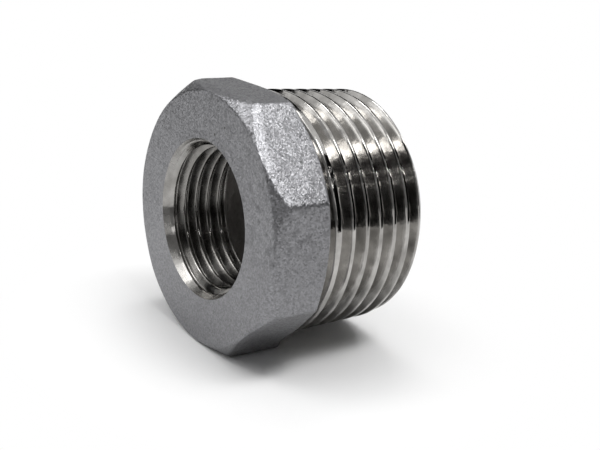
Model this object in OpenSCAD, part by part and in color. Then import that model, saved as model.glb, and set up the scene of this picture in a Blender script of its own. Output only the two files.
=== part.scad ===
// Reducing bushing, a pipe fitting in cast stainless steel, machined with two pipe threads.
// It screws into a wide female pipe thread and takes a narrower male one in its own head.
// It lies on one flat of its eight-sided head, with both threads' common axis along X.
// The head's open face looks towards -X, and the male thread points towards +X.

/* [Head] */
// Distance between two opposite flats of the head
head_af = 34.6; // [34.4:0.1:50]
// Number of flats round the head
head_sides = 8; // [6:2:12]
// Length of the head along its axis
head_len = 8.3; // [5:0.1:16]
// How far the open face's bevel reaches in from the middle of a flat
face_bevel = 0.3; // [0.1:0.05:1.5]
// Slope of that bevel, in degrees from the open face
face_bevel_angle = 45; // [20:1:60]
// How far the bevel on the thread's side reaches in from the middle of a flat
back_bevel = 0.1; // [0.05:0.05:0.3]
// Slope of that bevel, in degrees from the head's back
back_bevel_angle = 30; // [10:1:45]

/* [Male thread] */
// Diameter over the male thread's crests at its gauge plane
male_gauge_d = 33.249; // [32:0.001:33.6]
// Distance of the gauge plane from the thread's small end
male_gauge_len = 10.4; // [8:0.1:12]
// Pitch of the male thread
male_pitch = 2.309; // [1.6:0.001:2.6]
// Length of the threaded shank, from the head to its small end
male_len = 16.7; // [12:0.1:24]
// Turns over which the thread runs out towards the head
male_runout = 1.25; // [0.5:0.05:2]
// Angle round the axis at which the male thread's run-out ends
male_start = 142; // [0:1:359]
// Width of the bevel round the small end
male_end_bevel = 1.2; // [0.2:0.1:1.6]

/* [Female thread] */
// Diameter across the roots of the female thread
female_d = 20.955; // [20:0.001:21.2]
// Pitch of the female thread
female_pitch = 1.814; // [1.3:0.001:2]
// Length of the female thread, from the open face to the wider passage
female_len = 9.2; // [7:0.1:18]
// Angle round the axis at which the female thread starts
female_start = 70; // [0:1:359]
// Diameter of the countersink at the open face
countersink_d = 21.4; // [21.2:0.1:24]
// Included angle of the countersink
countersink_angle = 60; // [45:1:120]

/* [Passage] */
// Diameter of the cast passage behind the female thread, clear of the thread's roots
passage_d = 21.6; // [21.4:0.1:25]
// Slope of the step from the thread's bore to the passage, in degrees from the axis
passage_step_angle = 50; // [30:1:70]
// Width of the bevel round the passage's mouth
passage_bevel = 0.8; // [0.2:0.1:2]

/* [Thread form] */
// Angle between a thread's two flanks
flank_angle = 55; // [50:1:60]
// Length in which the male thread's diameter grows by one
taper_ratio = 16; // [12:1:40]

/* [Hidden] */
$fn = 96;
// Straight pieces in one turn of a thread
turn_steps = 40;
// Share of the sharp V's height that is cut off at the crest and again at the root
truncation = 1 / 6;
// How far a plain cutter reaches past the surface that it cuts
overshoot = 0.4;
// How far a groove reaches past the crests, short of where its neighbouring turns would meet
groove_rise = 0.15;
steel = "silver";

total_len = head_len + male_len;
corner_r = head_af / 2 / cos(180 / head_sides);
// Radius over the male thread's crests, at a distance from the open face
function male_r(x) = (male_gauge_d + (total_len - x - male_gauge_len) / taper_ratio) / 2;
// Height of a thread from root to crest
function thread_height(pitch) = (1 - 2 * truncation) * pitch / 2 / tan(flank_angle / 2);
female_bore_r = female_d / 2 - thread_height(female_pitch);

// Two triangles for each of the four long sides of a swept section, and two for each end
function sweep_faces(rings) = concat(
    [[0, 1, 2], [0, 2, 3]],
    [for (i = [0 : rings - 2], k = [0 : 3])
        let (a = 4 * i + k, b = 4 * i + (k + 1) % 4)
        each [[a, a + 4, b + 4], [a, b + 4, b]]],
    let (last = 4 * (rings - 1))
    [[last, last + 2, last + 1], [last, last + 3, last + 2]]
);

// Four corners of a groove's section at one angle of its helix.
// The root lies at root_r, and the mouth at mouth_r. A male groove's mouth is outside its root.
function groove_section(angle, z, root_r, mouth_r, pitch) =
    let (
        root_w = truncation * pitch / 2,
        mouth_w = root_w + abs(mouth_r - root_r) * tan(flank_angle / 2),
        section = mouth_r > root_r
            ? [[mouth_r, -mouth_w], [root_r, -root_w], [root_r, root_w], [mouth_r, mouth_w]]
            : [[root_r, -root_w], [mouth_r, -mouth_w], [mouth_r, mouth_w], [root_r, root_w]]
    )
    [for (p = section) [p[0] * cos(angle), p[0] * sin(angle), z + p[1]]];

// Helical groove of the male thread. It sinks in from the crests at the head and runs out past the small end.
module male_groove() {
    height = thread_height(male_pitch);
    rings = ceil((male_len / male_pitch + 1) * turn_steps) + 1;
    points = [for (i = [0 : rings - 1])
        let (
            turn = i / turn_steps,
            z = head_len + turn * male_pitch,
            climb = max(0, 1 - turn / male_runout) * (height + groove_rise / 2),
            crest_r = male_r(z) + climb
        )
        each groove_section(male_start + 360 * turn, z, crest_r - height, crest_r + groove_rise, male_pitch)];
    polyhedron(points, sweep_faces(rings), convexity = 10);
}

// Helical groove of the female thread. It starts in front of the open face and ends in the wider passage.
module female_groove() {
    step_len = (passage_d / 2 - female_bore_r) / tan(passage_step_angle);
    rings = ceil(((female_len + step_len) / female_pitch + 1.5) * turn_steps) + 1;
    points = [for (i = [0 : rings - 1])
        let (turn = i / turn_steps)
        each groove_section(
            female_start + 360 * turn, (turn - 1) * female_pitch,
            female_d / 2, female_bore_r - groove_rise, female_pitch
        )];
    polyhedron(points, sweep_faces(rings), convexity = 10);
}

// Eight-sided prism, turned down by a bevel at each end
module head() {
    reach = corner_r + 1;
    face_r = head_af / 2 - face_bevel;
    back_r = head_af / 2 - back_bevel;
    intersection() {
        linear_extrude(head_len)
            rotate(180 / head_sides)
                polygon([for (i = [0 : head_sides - 1]) corner_r * [cos(360 / head_sides * i), sin(360 / head_sides * i)]]);
        rotate_extrude()
            polygon([
                [0, 0],
                [face_r, 0],
                [reach, (reach - face_r) * tan(face_bevel_angle)],
                [reach, head_len - (reach - back_r) * tan(back_bevel_angle)],
                [back_r, head_len],
                [0, head_len]
            ]);
    }
}

// Tapered shank with its thread cut in it and a bevel round its small end
module shank() {
    end_r = male_r(total_len);
    difference() {
        intersection() {
            translate([0, 0, head_len - 1])
                cylinder(r1 = male_r(head_len - 1), r2 = end_r, h = male_len + 1);
            cylinder(r1 = end_r - male_end_bevel + total_len, r2 = end_r - male_end_bevel, h = total_len);
        }
        male_groove();
    }
}

// Everything that is bored, cut or cored out along the axis
module bore() {
    mouth_r = countersink_d / 2;
    passage_r = passage_d / 2;
    sink_len = (mouth_r - female_bore_r) / tan(countersink_angle / 2);
    step_len = (passage_r - female_bore_r) / tan(passage_step_angle);
    slope = tan(countersink_angle / 2);
    translate([0, 0, -overshoot])
        cylinder(r1 = mouth_r + overshoot * slope, r2 = female_bore_r, h = sink_len + overshoot);
    cylinder(r = female_bore_r, h = female_len + step_len);
    translate([0, 0, female_len])
        cylinder(r1 = female_bore_r, r2 = passage_r, h = step_len);
    translate([0, 0, female_len + step_len])
        cylinder(r = passage_r, h = total_len - female_len - step_len + overshoot);
    translate([0, 0, total_len - passage_bevel])
        cylinder(r1 = passage_r, r2 = passage_r + passage_bevel + overshoot, h = passage_bevel + overshoot);
}

module bushing() {
    color(steel)
        translate([-total_len / 2, 0, head_af / 2])
            rotate([0, 90, 0])
                difference() {
                    union() {
                        head();
                        shank();
                    }
                    bore();
                    female_groove();
                }
}

bushing();
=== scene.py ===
# Looks of a cast stainless steel reducing bushing, a fitting that joins two sizes of threaded pipe.
# Sizes are in millimetres along the thread axis, counted from the head's open face, or out from that axis.

import math

import bmesh
import bpy
import numpy as np
from mathutils import Matrix, Vector, noise


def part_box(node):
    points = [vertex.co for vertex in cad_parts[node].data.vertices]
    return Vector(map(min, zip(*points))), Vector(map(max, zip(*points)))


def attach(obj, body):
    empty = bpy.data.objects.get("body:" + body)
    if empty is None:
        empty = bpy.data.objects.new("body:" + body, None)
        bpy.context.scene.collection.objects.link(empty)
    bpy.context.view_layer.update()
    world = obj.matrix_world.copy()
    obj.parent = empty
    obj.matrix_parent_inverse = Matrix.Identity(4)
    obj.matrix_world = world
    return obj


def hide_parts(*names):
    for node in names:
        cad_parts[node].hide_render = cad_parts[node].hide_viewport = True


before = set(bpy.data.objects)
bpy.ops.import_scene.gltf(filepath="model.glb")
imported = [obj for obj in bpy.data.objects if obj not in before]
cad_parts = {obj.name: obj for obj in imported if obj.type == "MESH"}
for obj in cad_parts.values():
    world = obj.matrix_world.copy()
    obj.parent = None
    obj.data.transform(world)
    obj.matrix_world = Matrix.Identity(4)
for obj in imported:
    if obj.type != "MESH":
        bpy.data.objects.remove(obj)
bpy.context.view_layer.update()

# Head: eight cast flats for a spanner, with an open face in front and a bevel round both ends.
# It is investment cast in stainless steel, then blasted with grit and pickled, and not machined.
# At one corner, where the metal ran in, the casting reaches a little further over the thread.
low, high = (1000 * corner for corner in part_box("bushing"))
open_face_x = low.x
axis_height = (low.z + high.z) / 2
flat_radius = (high.z - low.z) / 2
head_length = 8.3
face_bevel_radius = flat_radius - 0.3
back_bevel_radius = flat_radius - 0.1
back_bevel_slope = math.tan(math.radians(30))
back_inner_radius = 15.6
countersink_radius = 10.7
# Behind the face's bevel the flats are eased, by rim_drop over rim_width, as blasting wears a cast edge
rim_drop = 0.22
rim_width = 1.0
# The higher this power, the sharper the eight corners
corner_sharpness = 170
# The corner where the metal ran in: its angle, its spread round the axis in radians, how far it reaches
# back, and how long the slope at its end is
runner_corner = math.radians(337.5)
runner_spread = 0.13
runner_reach = 1.9
runner_slope = 0.35
head_columns = 720


def rounded_profile(corners, reaches, spans):
    """Rows of points along a profile whose corners are (x, radius) pairs, one value a column.
    Each inner corner is rounded off over its reach, which takes less than half of the run on either side.
    spans says how many steps each straight run takes."""
    most_of_run = 0.45
    round_steps = 6
    points = [np.array(np.broadcast_arrays(*corner)) for corner in corners]
    rows = [points[0]]
    leave = points[0]
    for i in range(1, len(points)):
        inner = i < len(points) - 1
        arrive = points[i]
        if inner:
            before, after = points[i - 1] - points[i], points[i + 1] - points[i]
            before_len, after_len = np.hypot(*before), np.hypot(*after)
            reach = np.minimum(reaches[i - 1], most_of_run * np.minimum(before_len, after_len))
            arrive = points[i] + before / before_len * reach
        steps = spans[i - 1]
        rows += [leave + (arrive - leave) * k / steps for k in range(1, steps + 1)]
        if inner:
            leave = points[i] + after / after_len * reach
            for t in np.linspace(0, 1, round_steps + 1)[1:]:
                rows.append((1 - t) ** 2 * arrive + 2 * t * (1 - t) * points[i] + t * t * leave)
    rows = np.array(rows)
    return rows[:, 0], rows[:, 1]


def skin_of(name, x, radius, turn, next_turn=0, cut=None):
    """Mesh that runs round the axis. x and radius hold rows of columns, and turn holds each column's
    angle, in radians from the lowest point towards +Y. In a thread, a row meets the start of the row that
    is next_turn rows on. cut is kept on each point, as the distance in mm across the tool's path."""
    count, columns = x.shape
    spots = np.stack(
        [open_face_x + x, radius * np.sin(turn), axis_height - radius * np.cos(turn)], axis=-1
    )
    row, column = np.meshgrid(np.arange(count - 1), np.arange(columns), indexing="ij")
    wraps = column == columns - 1
    beside_row = np.where(wraps, row + next_turn, row)
    first = row * columns + column
    second = beside_row * columns + np.where(wraps, 0, column + 1)
    faces = np.stack([first, second, second + columns, first + columns], axis=-1)
    faces = faces[beside_row < count - 1]
    mesh = bpy.data.meshes.new(name)
    mesh.from_pydata((0.001 * spots.reshape(-1, 3)).tolist(), [], faces.tolist())
    if cut is not None:
        kept = mesh.attributes.new("cut", "FLOAT", "POINT")
        kept.data.foreach_set("value", np.broadcast_to(cut, x.shape).astype(np.float32).ravel())
    if next_turn:
        # Rows cut off at the thread's ends fall together there
        merged = bmesh.new()
        merged.from_mesh(mesh)
        bmesh.ops.remove_doubles(merged, verts=merged.verts, dist=1e-7)
        bmesh.ops.delete(merged, geom=[v for v in merged.verts if not v.link_faces], context="VERTS")
        merged.to_mesh(mesh)
        merged.free()
    mesh.shade_smooth()
    piece = bpy.data.objects.new(name, mesh)
    bpy.context.scene.collection.objects.link(piece)
    return piece


def sink_cast_skin(piece, depth, size, edges):
    """Lets a cast surface wander inwards by up to depth, in swells about size across, both in mm.
    It stays in place where it meets a machined surface, at edges given as (x, radius)."""
    mesh = piece.data
    spots = np.zeros(len(mesh.vertices) * 3, np.float32)
    normals = np.zeros(len(mesh.vertices) * 3, np.float32)
    mesh.vertices.foreach_get("co", spots)
    mesh.vertex_normals.foreach_get("vector", normals)
    spots, normals = spots.reshape(-1, 3), normals.reshape(-1, 3)
    swell = np.array(
        [
            noise.noise(Vector(spot) * (1000 / size)) + 0.4 * noise.noise(Vector(spot) * (2600 / size))
            for spot in spots
        ]
    )
    x = 1000 * spots[:, 0] - open_face_x
    radius = 1000 * np.hypot(spots[:, 1], spots[:, 2] - 0.001 * axis_height)
    away = np.min([np.hypot(x - edge_x, radius - edge_radius) for edge_x, edge_radius in edges], axis=0)
    sinking = 0.001 * depth * np.clip(0.5 + 0.5 * swell, 0, 1) * np.clip(away, 0, 1)
    sunk = spots - normals * sinking[:, None]
    mesh.vertices.foreach_set("co", sunk.astype(np.float32).ravel())
    mesh.update()


turn = np.linspace(0, 2 * math.pi, head_columns, endpoint=False)
flats = np.arange(8) * math.pi / 4
lean = np.clip(np.cos(turn[:, None] - flats[None, :]), 0, 1)
outline = flat_radius * (lean**corner_sharpness).sum(axis=1) ** (-1 / corner_sharpness)
runner = np.exp(-(((turn - runner_corner) / runner_spread) ** 2))
back_end = head_length - (outline - back_bevel_radius) * back_bevel_slope + runner * runner_reach
shoulder = np.maximum(head_length, back_end - runner_slope * runner)
head_x, head_radius = rounded_profile(
    [
        (0 * turn, countersink_radius + 0 * turn),
        (0 * turn, face_bevel_radius + 0 * turn),
        (outline - face_bevel_radius - rim_drop, outline - rim_drop),
        (outline - face_bevel_radius + rim_width, outline),
        (back_end, outline),
        (shoulder, back_bevel_radius + 0 * turn),
        (shoulder, back_inner_radius + 0 * turn),
    ],
    reaches=[0.3, 0.25, 0.45, 0.3, 0.25],
    spans=[16, 5, 4, 22, 5, 3],
)
head = skin_of("cast_head", head_x, head_radius, turn)
sink_cast_skin(head, depth=0.07, size=5.0, edges=[(0, countersink_radius)])


def srgb(code):
    """Linear colour of an sRGB hex code."""
    values = [int(code[i : i + 2], 16) / 255 for i in (1, 3, 5)]
    return [v / 12.92 if v <= 0.04045 else ((v + 0.055) / 1.055) ** 2.4 for v in values] + [1]


def add_node(tree, kind, inputs=None, **settings):
    """Adds a node with its settings. Each of its inputs takes a value, or the output of another node."""
    node = tree.nodes.new(kind)
    for name, value in settings.items():
        setattr(node, name, value)
    for name, value in (inputs or {}).items():
        if isinstance(value, bpy.types.NodeSocket):
            tree.links.new(value, node.inputs[name])
        else:
            node.inputs[name].default_value = value
    return node


# Blasted cast stainless steel: the grit leaves small dents that face all ways and glint one by one, partly
# through their lean and partly through a painted glint, a base colour lightened dent by dent.
# Real ones are about 0.1 mm across. They are drawn 0.2 mm across, as coarse as it takes for them to show.
# Pickling leaves the steel a dull grey, a few pores stay from the casting, darkened with painted shade, and
# one corner was knocked.
grit_size = 0.20
dent_size = 0.21
dent_lean = 0.32
swell_size = 3.5
pore_spacing = 3.8
smear_size = 1.3
# The place of the knocked corner, in metres
knocked_corner = (-0.0125, -0.0168, 0.0225)
cast_steel = bpy.data.materials.new("blasted_cast_stainless")
cast_steel.use_nodes = True
tree = cast_steel.node_tree
shader = tree.nodes["Principled BSDF"]
place = add_node(tree, "ShaderNodeTexCoord").outputs["Object"]
grit = add_node(tree, "ShaderNodeTexNoise", {"Vector": place, "Scale": 1000 / grit_size, "Detail": 2.0})
peened = add_node(tree, "ShaderNodeTexVoronoi", {"Vector": place, "Scale": 1000 / dent_size})
glint = add_node(tree, "ShaderNodeSeparateColor", {"Color": peened.outputs["Color"]})
swells = add_node(tree, "ShaderNodeTexNoise", {"Vector": place, "Scale": 1000 / swell_size, "Detail": 3.0})
pores = add_node(tree, "ShaderNodeTexVoronoi", {"Vector": place, "Scale": 1000 / pore_spacing})
pore = add_node(
    tree,
    "ShaderNodeMapRange",
    {"Value": pores.outputs["Distance"], "From Min": 0.025, "From Max": 0.06, "To Min": 1.0, "To Max": 0.0},
)
# Inputs 0, 6 and 7 of a colour mix are its share and its two colours
grey = add_node(
    tree,
    "ShaderNodeMix",
    {0: swells.outputs["Fac"], 6: srgb("#737375"), 7: srgb("#828284")},
    data_type="RGBA",
)
# Painted glints: each dent's base colour is lightened by a random share, as if it caught the light
painted_glints = add_node(
    tree,
    "ShaderNodeMix",
    {0: glint.outputs["Red"], 6: grey.outputs[2], 7: srgb("#969699")},
    data_type="RGBA",
)
# Painted shade: the pores are darkened, as shade falls inside them
shaded_pores = add_node(
    tree,
    "ShaderNodeMix",
    {0: pore.outputs["Result"], 6: painted_glints.outputs[2], 7: srgb("#4A4743")},
    data_type="RGBA",
)
smears = add_node(tree, "ShaderNodeTexNoise", {"Vector": place, "Scale": 1000 / smear_size, "Detail": 4.0})
smear = add_node(
    tree, "ShaderNodeMapRange", {"Value": smears.outputs["Fac"], "From Min": 0.52, "From Max": 0.68}
)
from_knock = add_node(
    tree, "ShaderNodeVectorMath", {0: place, 1: knocked_corner}, operation="DISTANCE"
)
near_knock = add_node(
    tree,
    "ShaderNodeMapRange",
    {
        "Value": from_knock.outputs["Value"],
        "From Min": 0.003,
        "From Max": 0.009,
        "To Min": 0.8,
        "To Max": 0.0,
    },
)
scuffed = add_node(
    tree,
    "ShaderNodeMath",
    {0: smear.outputs["Result"], 1: near_knock.outputs["Result"]},
    operation="MULTIPLY",
)
marked = add_node(
    tree,
    "ShaderNodeMix",
    {0: scuffed.outputs[0], 6: shaded_pores.outputs[2], 7: srgb("#5C5C5E")},
    data_type="RGBA",
)
dullness = add_node(
    tree, "ShaderNodeMapRange", {"Value": glint.outputs["Green"], "To Min": 0.31, "To Max": 0.47}
)
hollow = add_node(
    tree, "ShaderNodeMath", {0: grit.outputs["Fac"], 1: pore.outputs["Result"]}, operation="SUBTRACT"
)
relief = add_node(tree, "ShaderNodeBump", {"Height": hollow.outputs["Value"], "Distance": 0.00005})
lean_of_dent = add_node(
    tree,
    "ShaderNodeVectorMath",
    {0: peened.outputs["Color"], 1: [dent_lean] * 3, 2: [-dent_lean / 2] * 3},
    operation="MULTIPLY_ADD",
)
leaning = add_node(
    tree,
    "ShaderNodeVectorMath",
    {0: relief.outputs["Normal"], 1: lean_of_dent.outputs[0]},
    operation="ADD",
)
facing = add_node(tree, "ShaderNodeVectorMath", {0: leaning.outputs[0]}, operation="NORMALIZE")
shader.inputs["Metallic"].default_value = 1.0
tree.links.new(marked.outputs[2], shader.inputs["Base Color"])
tree.links.new(dullness.outputs["Result"], shader.inputs["Roughness"])
tree.links.new(facing.outputs[0], shader.inputs["Normal"])
head.data.materials.append(cast_steel)
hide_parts("bushing")
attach(head, "root")


# Male thread: an R 1 taper pipe thread, cut on a lathe into the shank behind the head.
# Its groove runs out against the head over the last half turn, and a bevel leads into it at the small end.
# The cutting insert leaves bright flanks with fine lines along the helix.
part_length = high.x - low.x
male_pitch = 2.309
male_gauge_radius = 33.249 / 2
male_gauge_x = part_length - 10.4
male_taper_ratio = 16
male_start = math.radians(142)
male_runout = 0.5
male_end_bevel = 1.2
male_columns = 480
# How widely the male thread's crests, and then the edge of its bevel, are rounded
male_crest_blend = 0.10
male_bevel_blend = 0.12
flank = math.radians(27.5)
# Height of a thread, and radius of its rounded crests and roots, as shares of the pitch
height_share = 0.640327
round_share = 0.137329
# How far the groove climbs clear of the crests where it has run out
crest_clearance = 0.075
# How far the thread's skin reaches in under the head
tucked_in = 0.1
# Places of the rows across one groove, as shares of the pitch from its middle, closer at crest and root
across_groove = np.array([0, 0.05, 0.09, 0.125, 0.18, 0.24, 0.30, 0.35, 0.385, 0.405, 0.42, 0.435, 0.46])
across_groove = np.concatenate([-across_groove[:0:-1], across_groove, [0.5]])


def groove_depth(offset, pitch):
    """Depth of a thread's groove at an offset along the axis from its middle, with a rounded root."""
    height = height_share * pitch
    root_round = round_share * pitch
    offset = np.abs(offset)
    root = height - root_round + np.sqrt(np.clip(root_round**2 - offset**2, 0, None))
    sides = height / 2 + (pitch / 4 - offset) / math.tan(flank)
    return np.where(offset < root_round * math.cos(flank), root, sides)


def higher(a, b, blend):
    """The higher of two values, with a rounded change from one to the other."""
    return np.maximum(a, b) + np.clip(blend - np.abs(a - b), 0, None) ** 2 / (4 * blend)


def helical_rows(start_x, start_turn, pitch, columns, first_x, last_x):
    """Rows along a groove's helix from first_x to last_x, cut off square there, as x, angles, each row's
    offset from the middle of its groove, and the rows in a turn. At angle start_turn, the middle of a
    groove lies at start_x."""
    turn = np.linspace(0, 2 * math.pi, columns, endpoint=False)
    per_turn = len(across_groove)
    before = math.ceil((start_x - first_x) / pitch) + 2
    turns = before + math.ceil((last_x - start_x) / pitch) + 2
    share = np.concatenate([k + across_groove for k in range(turns)])
    middle = start_x - before * pitch + (turn - start_turn) / (2 * math.pi) * pitch
    x = middle[None, :] + (share * pitch)[:, None]
    offset = np.tile(across_groove * pitch, turns)[:, None] + 0 * turn
    x_cut = np.clip(x, first_x, last_x)
    return x_cut, turn, offset + x_cut - x, per_turn


def male_crest(x):
    """Radius over the male thread's crests."""
    return male_gauge_radius + (male_gauge_x - x) / (2 * male_taper_ratio)


def male_radius(x, offset):
    """Radius of the male thread's skin at x, where a groove's middle lies offset further back."""
    turns_in = (x - offset - head_length) / male_pitch
    full_climb = height_share * male_pitch + crest_clearance
    climb = np.where(turns_in < 0, 1, np.clip(1 - turns_in / male_runout, 0, 1)) * full_climb
    depth = higher(groove_depth(offset, male_pitch) - climb, 0, male_crest_blend)
    bevel_radius = male_crest(part_length) - male_end_bevel + part_length - x
    return -higher(depth - male_crest(x), -bevel_radius, male_bevel_blend)


male_x, male_turn, male_offset, male_rows = helical_rows(
    head_length, male_start, male_pitch, male_columns, head_length - tucked_in, part_length
)
male_thread = skin_of(
    "male_thread",
    male_x,
    male_radius(male_x, male_offset),
    male_turn,
    next_turn=male_rows,
    cut=np.abs(male_offset),
)

# Stainless steel cut with a carbide insert: bright, with lines about 0.08 mm apart that follow the groove.
# Light smears across the lines, and the metal goes from mirror bright to satin in patches along each turn.
# The crests, rubbed by the insert's flat, are brighter still.
line_spacing = 0.08
line_length = 5.0
patch_size = 2.5
# The distance from the middle of a groove over which its flank turns into the rubbed crest
flank_end, crest_edge = 0.78, 0.92
cut_steel = bpy.data.materials.new("thread_cut_stainless")
cut_steel.use_nodes = True
tree = cut_steel.node_tree
shader = tree.nodes["Principled BSDF"]
place = add_node(tree, "ShaderNodeTexCoord").outputs["Object"]
across = add_node(tree, "ShaderNodeAttribute", attribute_name="cut").outputs["Fac"]
spot = add_node(tree, "ShaderNodeSeparateXYZ", {"Vector": place})
line_step = add_node(tree, "ShaderNodeMath", {0: across, 1: 1 / line_spacing}, operation="MULTIPLY")
along_y, along_z = (
    add_node(tree, "ShaderNodeMath", {0: spot.outputs[way], 1: 1000 / line_length}, operation="MULTIPLY")
    for way in "YZ"
)
tool_path = add_node(
    tree,
    "ShaderNodeCombineXYZ",
    {"X": line_step.outputs[0], "Y": along_y.outputs[0], "Z": along_z.outputs[0]},
).outputs[0]
lines = add_node(tree, "ShaderNodeTexNoise", {"Vector": tool_path, "Scale": 1.0, "Detail": 2.0})
patches = add_node(tree, "ShaderNodeTexNoise", {"Vector": place, "Scale": 1000 / patch_size, "Detail": 3.0})
mottle = add_node(
    tree, "ShaderNodeMapRange", {"Value": patches.outputs["Fac"], "From Min": 0.30, "From Max": 0.70}
)
metal = add_node(
    tree,
    "ShaderNodeMix",
    {0: mottle.outputs["Result"], 6: srgb("#8C8A87"), 7: srgb("#BAB8B5")},
    data_type="RGBA",
)
polish = add_node(
    tree, "ShaderNodeMapRange", {"Value": mottle.outputs["Result"], "To Min": 0.12, "To Max": 0.19}
)
rubbed = add_node(
    tree,
    "ShaderNodeMapRange",
    {"Value": across, "From Min": flank_end, "From Max": crest_edge, "To Min": 1.0, "To Max": 0.4},
)
finish = add_node(
    tree,
    "ShaderNodeMath",
    {0: polish.outputs["Result"], 1: rubbed.outputs["Result"]},
    operation="MULTIPLY",
)
chatter = add_node(tree, "ShaderNodeBump", {"Height": patches.outputs["Fac"], "Distance": 0.00005})
relief = add_node(
    tree,
    "ShaderNodeBump",
    {"Height": lines.outputs["Fac"], "Distance": 0.000008, "Normal": chatter.outputs["Normal"]},
)
round_the_axis = add_node(tree, "ShaderNodeTangent", direction_type="RADIAL", axis="X")
shader.inputs["Metallic"].default_value = 1.0
shader.inputs["Anisotropic"].default_value = 0.85
shader.inputs["Anisotropic Rotation"].default_value = 0.25
tree.links.new(round_the_axis.outputs["Tangent"], shader.inputs["Tangent"])
tree.links.new(metal.outputs[2], shader.inputs["Base Color"])
tree.links.new(finish.outputs[0], shader.inputs["Roughness"])
tree.links.new(relief.outputs["Normal"], shader.inputs["Normal"])
male_thread.data.materials.append(cut_steel)
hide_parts("bushing")
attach(male_thread, "root")


# Female thread: an Rp 1/2 parallel pipe thread, tapped into the head behind a turned countersink.
# It has only five turns, with rounded crests, and its last groove opens into the wider passage behind.
# The step down to it is cast, as the passage is.
female_pitch = 1.814
female_root_radius = 20.955 / 2
female_bore_radius = female_root_radius - height_share * female_pitch
female_length = 9.2
female_start = math.radians(70)
countersink_slope = math.tan(math.radians(30))
passage_radius = 10.8
passage_step_slope = math.tan(math.radians(50))
passage_start = female_length + (passage_radius - female_bore_radius) / passage_step_slope
female_columns = 400
# How widely the edges of the countersink and the step are rounded
bore_blend = 0.06
# How close to the countersink's cone, and to the step's, the skin counts as part of it
on_countersink = 0.05
on_step = 0.03


def female_radius(x, offset):
    """Radius of the female thread's skin at x, where a groove's middle lies offset further out."""
    crest_round = round_share * female_pitch
    from_crest = female_pitch / 2 - np.abs(offset)
    crest = crest_round - np.sqrt(np.clip(crest_round**2 - from_crest**2, 0, None))
    on_crest = from_crest < crest_round * math.cos(flank)
    groove = female_bore_radius + np.where(on_crest, crest, groove_depth(offset, female_pitch))
    bored = higher(groove, countersink_radius - x * countersink_slope, bore_blend)
    return higher(bored, female_bore_radius + (x - female_length) * passage_step_slope, bore_blend)


female_x, female_turn, female_offset, female_rows = helical_rows(
    0.0, female_start, female_pitch, female_columns, 0.0, passage_start
)
female_skin = female_radius(female_x, female_offset)
in_countersink = female_skin < countersink_radius - female_x * countersink_slope + on_countersink
female_thread = skin_of(
    "female_thread",
    female_x,
    female_skin,
    female_turn,
    next_turn=female_rows,
    cut=np.where(in_countersink, female_x, np.abs(female_offset)),
)
female_thread.data.flip_normals()

# Tapped stainless steel: as the male thread's metal, but torn a little by the tap, so duller.
# Behind the countersink its colour darkens towards the passage, painted shade deeper in the bore.
unshaded_to, shaded_from = 0.9, 2.4
tapped_steel = cut_steel.copy()
tapped_steel.name = "tapped_stainless"
torn = tapped_steel.node_tree.nodes[polish.name].inputs
torn["To Min"].default_value, torn["To Max"].default_value = 0.20, 0.30
tree = tapped_steel.node_tree
# Painted shade: the thread's colour darkens from just behind the countersink inwards
bore_shade = add_node(
    tree,
    "ShaderNodeMapRange",
    {
        "Value": tree.nodes[spot.name].outputs["X"],
        "From Min": 0.001 * (open_face_x + unshaded_to),
        "From Max": 0.001 * (open_face_x + shaded_from),
        "To Min": 0.0,
        "To Max": 0.45,
    },
)
shaded_deeper = add_node(
    tree,
    "ShaderNodeMix",
    {0: bore_shade.outputs["Result"], 6: tree.nodes[metal.name].outputs[2], 7: srgb("#4C4A46")},
    data_type="RGBA",
)
tree.links.new(shaded_deeper.outputs[2], tree.nodes["Principled BSDF"].inputs["Base Color"])
female_thread.data.materials.append(tapped_steel)
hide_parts("bushing")
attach(female_thread, "root")


# Passage: the rest of the way through is cored in the casting, a little wider than the thread's roots.
# It is never machined, so it keeps a rough, dark skin where the blasting hardly reached.
# The step down to the thread is cast with it.
passage_bevel = 0.8
passage_columns = 360
passage_turn = np.linspace(0, 2 * math.pi, passage_columns, endpoint=False)
passage_x, passage_skin = rounded_profile(
    [
        (part_length + 0 * passage_turn, passage_radius + passage_bevel + 0 * passage_turn),
        (part_length - passage_bevel + 0 * passage_turn, passage_radius + 0 * passage_turn),
        (passage_start + 0 * passage_turn, passage_radius + 0 * passage_turn),
    ],
    reaches=[0.3],
    spans=[6, 60],
)
passage = skin_of("cast_passage", passage_x, passage_skin, passage_turn)
sink_cast_skin(
    passage,
    depth=0.12,
    size=2.5,
    edges=[(passage_start, passage_radius), (part_length, passage_radius + passage_bevel)],
)

# Cored cast stainless steel: as the head's skin, but coarser, darker and never bright
grain_size = 0.5
stain_size = 3.0
cored_steel = bpy.data.materials.new("cored_cast_stainless")
cored_steel.use_nodes = True
tree = cored_steel.node_tree
shader = tree.nodes["Principled BSDF"]
place = add_node(tree, "ShaderNodeTexCoord").outputs["Object"]
grains = add_node(tree, "ShaderNodeTexNoise", {"Vector": place, "Scale": 1000 / grain_size, "Detail": 4.0})
stains = add_node(tree, "ShaderNodeTexNoise", {"Vector": place, "Scale": 1000 / stain_size, "Detail": 2.0})
skin_grey = add_node(
    tree,
    "ShaderNodeMix",
    {0: stains.outputs["Fac"], 6: srgb("#565350"), 7: srgb("#74716E")},
    data_type="RGBA",
)
rough_skin = add_node(
    tree, "ShaderNodeMapRange", {"Value": grains.outputs["Fac"], "To Min": 0.5, "To Max": 0.75}
)
relief = add_node(tree, "ShaderNodeBump", {"Height": grains.outputs["Fac"], "Distance": 0.00012})
shader.inputs["Metallic"].default_value = 1.0
tree.links.new(skin_grey.outputs[2], shader.inputs["Base Color"])
tree.links.new(rough_skin.outputs["Result"], shader.inputs["Roughness"])
tree.links.new(relief.outputs["Normal"], shader.inputs["Normal"])
passage.data.materials.append(cored_steel)
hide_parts("bushing")
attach(passage, "root")

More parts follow.
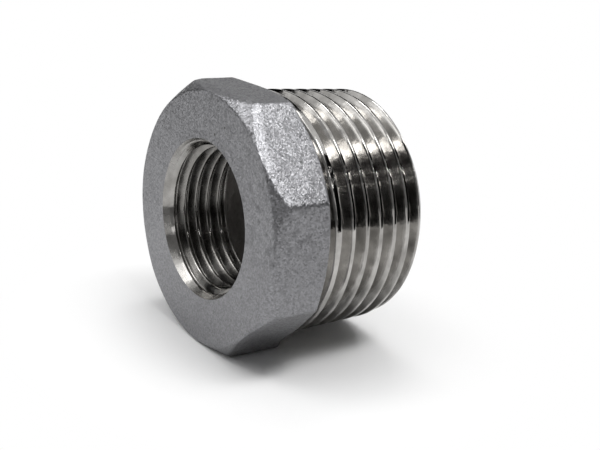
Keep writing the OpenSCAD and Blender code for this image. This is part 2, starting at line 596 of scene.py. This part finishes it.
# The step is part of the female thread's mesh and has the passage's skin
female_thread.data.materials.append(cored_steel)
for face in female_thread.data.polygons:
    behind = 1000 * face.center.x - open_face_x - female_length
    out = 1000 * math.hypot(face.center.y, face.center.z - 0.001 * axis_height) - female_bore_radius
    face.material_index = int(behind > 0 and out < behind * passage_step_slope + on_step)


# Small end: the ring at the end of the male thread, faced on the lathe, square to the axis.
# The thread's last groove bites into its outer edge, and the passage's bevel ends at its inner one.
end_middle = (part_length - head_length) / male_pitch - (male_turn - male_start) / (2 * math.pi)
end_offset = (end_middle - np.round(end_middle)) * male_pitch
end_outer = male_radius(part_length + 0 * male_turn, end_offset)
end_inner = passage_radius + passage_bevel + 0 * male_turn
end_rows = 12
end_radius = end_outer + (end_inner - end_outer) * np.linspace(0, 1, end_rows + 1)[:, None]
small_end = skin_of(
    "small_end_face", part_length + 0 * end_radius, end_radius, male_turn, cut=end_radius
)

# Faced stainless steel: as the thread's metal, but satin all over, with fine rings from the facing cut
faced_steel = cut_steel.copy()
faced_steel.name = "faced_stainless"
satin = faced_steel.node_tree.nodes[polish.name].inputs
satin["To Min"].default_value, satin["To Max"].default_value = 0.22, 0.30
faced_steel.node_tree.nodes[rubbed.name].inputs["To Max"].default_value = 1.0
clouds = faced_steel.node_tree.nodes[mottle.name].inputs
clouds["From Min"].default_value, clouds["From Max"].default_value = -0.2, 1.2
small_end.data.materials.append(faced_steel)
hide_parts("bushing")
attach(small_end, "root")


# Table: a white card under the fitting, which stays white out to the edge of the picture.
# Near the fitting it is plain card, so that it keeps the shadow. Further off it is lit from within.
# As the camera sees it, the glow comes nearer than it does as light.
table_reach = 3
glow_as_light = (0.020, 0.055)
glow_as_seen = (0.013, 0.038)
table_mesh = bpy.data.meshes.new("table")
table_mesh.from_pydata(
    [(table_reach * x, table_reach * y, 0) for x, y in ((-1, -1), (1, -1), (1, 1), (-1, 1))],
    [],
    [(0, 1, 2, 3)],
)
table = bpy.data.objects.new("table", table_mesh)
bpy.context.scene.collection.objects.link(table)
card = bpy.data.materials.new("white_card")
card.use_nodes = True
tree = card.node_tree
tree.nodes["Principled BSDF"].inputs["Base Color"].default_value = srgb("#F2F2F2")
tree.nodes["Principled BSDF"].inputs["Roughness"].default_value = 0.9
place = add_node(tree, "ShaderNodeTexCoord").outputs["Object"]
away = add_node(tree, "ShaderNodeVectorMath", {0: place}, operation="LENGTH")
ray = add_node(tree, "ShaderNodeLightPath")
lit_from, lit_to = (
    add_node(
        tree,
        "ShaderNodeMapRange",
        {"Value": ray.outputs["Is Camera Ray"], "To Min": as_light, "To Max": as_seen},
    )
    for as_light, as_seen in zip(glow_as_light, glow_as_seen)
)
far = add_node(
    tree,
    "ShaderNodeMapRange",
    {
        "Value": away.outputs["Value"],
        "From Min": lit_from.outputs["Result"],
        "From Max": lit_to.outputs["Result"],
    },
    interpolation_type="SMOOTHSTEP",
)
seen = add_node(
    tree,
    "ShaderNodeMath",
    {0: ray.outputs["Is Camera Ray"], 1: ray.outputs["Is Glossy Ray"]},
    operation="MAXIMUM",
)
lit = add_node(tree, "ShaderNodeMath", {0: far.outputs["Result"], 1: seen.outputs[0]}, operation="MULTIPLY")
glow = add_node(tree, "ShaderNodeEmission", {"Strength": 1.0})
surface = add_node(
    tree,
    "ShaderNodeMixShader",
    {0: lit.outputs[0], 1: tree.nodes["Principled BSDF"].outputs[0], 2: glow.outputs[0]},
)
tree.links.new(surface.outputs[0], tree.nodes["Material Output"].inputs["Surface"])
table_mesh.materials.append(card)


# Room: white all round, as the camera and the steel's reflections see it.
# As light on the table it is a little weaker.
room = bpy.data.worlds.new("white_room")
room.use_nodes = True
bpy.context.scene.world = room
tree = room.node_tree
ray = add_node(tree, "ShaderNodeLightPath")
seen = add_node(
    tree,
    "ShaderNodeMath",
    {0: ray.outputs["Is Camera Ray"], 1: ray.outputs["Is Glossy Ray"]},
    operation="MAXIMUM",
)
level = add_node(tree, "ShaderNodeMapRange", {"Value": seen.outputs[0], "To Min": 0.95, "To Max": 1.0})
tree.links.new(level.outputs["Result"], tree.nodes["Background"].inputs["Strength"])
tree.nodes["Background"].inputs["Color"].default_value = (1, 1, 1, 1)


# Soft boxes: one high in front, one high behind, one over the side flat and three at the far left, of which
# corner_box shows in the bevel at the head's upper corner.
# Three small ones nearer by show only in the steel, as glints along the threads.
def soft_box(name, heading, height, spread, tilt_spread, radiance, reach):
    """Area lamp that faces the fitting, as bright as radiance where the steel mirrors it. Its heading from
    +X towards +Y, its height over the table, and its half widths along and up are angles in degrees as the
    fitting sees them. reach is its distance in metres."""
    lamp = bpy.data.lights.new(name, "AREA")
    lamp.shape = "RECTANGLE"
    lamp.size = 2 * reach * math.tan(math.radians(spread))
    lamp.size_y = 2 * reach * math.tan(math.radians(tilt_spread))
    lamp.energy = radiance * math.pi * lamp.size * lamp.size_y
    box = bpy.data.objects.new(name, lamp)
    heading, height = math.radians(heading), math.radians(height)
    way = Vector(
        (math.cos(heading) * math.cos(height), math.sin(heading) * math.cos(height), math.sin(height))
    )
    box.location = Vector((0, 0, 0.001 * axis_height)) + way * reach
    box.rotation_euler = way.to_track_quat("Z", "Y").to_euler()
    bpy.context.scene.collection.objects.link(box)
    return box


box_reach = 0.45
soft_box("front_box", -75, 68, 12, 6, 12.0, box_reach)
soft_box("side_box", -36, 61, 9, 4.5, 9.4, box_reach)
soft_box("rear_box", 66, 66, 13, 4.5, 9.5, box_reach)
soft_box("left_box", 152, 60, 15, 6, 3.0, box_reach)
soft_box("corner_box", 146, 48.5, 9, 4, 9.0, box_reach)
soft_box("low_box", 155, 24, 14, 5, 2.0, box_reach)
spot_reach = 0.26
for spot_lamp in (
    soft_box("left_spot", -79, 44, 3, 1.2, 34.0, spot_reach),
    soft_box("lower_spot", -79, 35, 3, 1.2, 18.0, spot_reach),
    soft_box("right_spot", -15, 21, 3, 1.2, 40.0, spot_reach),
):
    spot_lamp.visible_diffuse = False


# Screens: black, grey and pale cloth stands round the fitting, out of the camera's sight.
# The steel mirrors it, and that gives the threads their dark bands and the flats their greys.
# Above the screens' edges the steel mirrors the white room.
def cloth(name, colour):
    """Matt cloth that scatters light evenly and mirrors none."""
    fabric = bpy.data.materials.new(name)
    fabric.use_nodes = True
    weave = fabric.node_tree.nodes["Principled BSDF"].inputs
    weave["Base Color"].default_value = srgb(colour)
    weave["Roughness"].default_value = 1.0
    weave["Specular IOR Level"].default_value = 0.0
    return fabric


def round_screen(name, fabric, distance, headings, bottoms, tops):
    """Upright round screen that the camera doesn't see. Its lower and upper edges are given as heights over
    the table, as the fitting sees them, at each of its headings, all in degrees. It ends at the table."""
    step = 3
    steps = np.arange(headings[0], headings[-1] + 0.1, step)
    points = []
    for heading in steps:
        way = math.radians(heading)
        for edge in (np.interp(heading, headings, bottoms), np.interp(heading, headings, tops)):
            height = max(0.001, 0.001 * axis_height + distance * math.tan(math.radians(edge)))
            points.append((distance * math.cos(way), distance * math.sin(way), height))
    mesh = bpy.data.meshes.new(name)
    mesh.from_pydata(points, [], [(i, i + 2, i + 3, i + 1) for i in range(0, 2 * len(steps) - 2, 2)])
    mesh.materials.append(fabric)
    screen = bpy.data.objects.new(name, mesh)
    bpy.context.scene.collection.objects.link(screen)
    screen.visible_camera = False
    return screen


round_screen(
    "black_screen",
    cloth("matt_black", "#0A0A0A"),
    0.30,
    [0, 10, 70, 88, 96, 105, 114, 140, 158, 180, 195, 220, 246, 255, 285, 317, 333, 345, 360],
    [-20] * 19,
    [34, 44, 48, 50, 58, 58, 26, 14, 13, 30, 60, 63, 62, 54, 53, 54, 50, 40, 34],
)
round_screen("grey_screen", cloth("matt_grey", "#7C7C7C"), 0.29, [188, 266], [-20, -20], [59, 59])
round_screen("back_card", cloth("pale_grey", "#D4D4D4"), 0.29, [10, 92], [-20, -20], [22, 22])


# Tube lamps: two thin level tubes at the front right, and a thicker one that slopes down from the left.
# Only reflections show them, as thin lines across the threads and small glints on their crests.
def tube_lamp(name, radiance, headings, bottoms, tops):
    """Tube bent round the fitting, as bright as radiance, that only reflections show."""
    light = bpy.data.materials.new(name)
    light.use_nodes = True
    tree = light.node_tree
    tree.nodes.remove(tree.nodes["Principled BSDF"])
    shine = add_node(tree, "ShaderNodeEmission", {"Strength": radiance})
    tree.links.new(shine.outputs[0], tree.nodes["Material Output"].inputs["Surface"])
    tube_reach = 0.28
    tube = round_screen(name, light, tube_reach, headings, bottoms, tops)
    tube.visible_diffuse = False
    tube.visible_shadow = False


tube_lamp("left_tube", 2.0, [225, 262, 288], [26, 15, 4], [32, 19, 6])
tube_lamp("front_tube", 4.0, [290, 330], [40.2, 40.2], [40.6, 40.6])
tube_lamp("low_tube", 3.0, [290, 330], [32.4, 32.4], [32.7, 32.7])


# Camera: where the photographer stood, found from the head's corners and both threads' crests.
# Its focal length was found with it, in pixels of a picture 600 wide.
picture_width = 600
focal_pixels = 1043
camera_spot = Vector((-80.27, -111.22, 62.66)) * 0.001
camera_heading, camera_dip, camera_roll = (math.radians(a) for a in (-37.08, 18.99, 6.5))
looks = Vector(
    (
        -math.sin(camera_heading) * math.cos(camera_dip),
        math.cos(camera_heading) * math.cos(camera_dip),
        -math.sin(camera_dip),
    )
)
lens = bpy.data.cameras.new("camera")
lens.sensor_width = 36.0
lens.lens = lens.sensor_width * focal_pixels / picture_width
lens.clip_start, lens.clip_end = 0.005, 20
camera = bpy.data.objects.new("camera", lens)
bpy.context.scene.collection.objects.link(camera)
camera.matrix_world = (
    Matrix.Translation(camera_spot)
    @ looks.to_track_quat("-Z", "Y").to_matrix().to_4x4()
    @ Matrix.Rotation(camera_roll, 4, "Z")
)
bpy.context.scene.camera = camera
bpy.context.scene.view_settings.view_transform = "Standard"
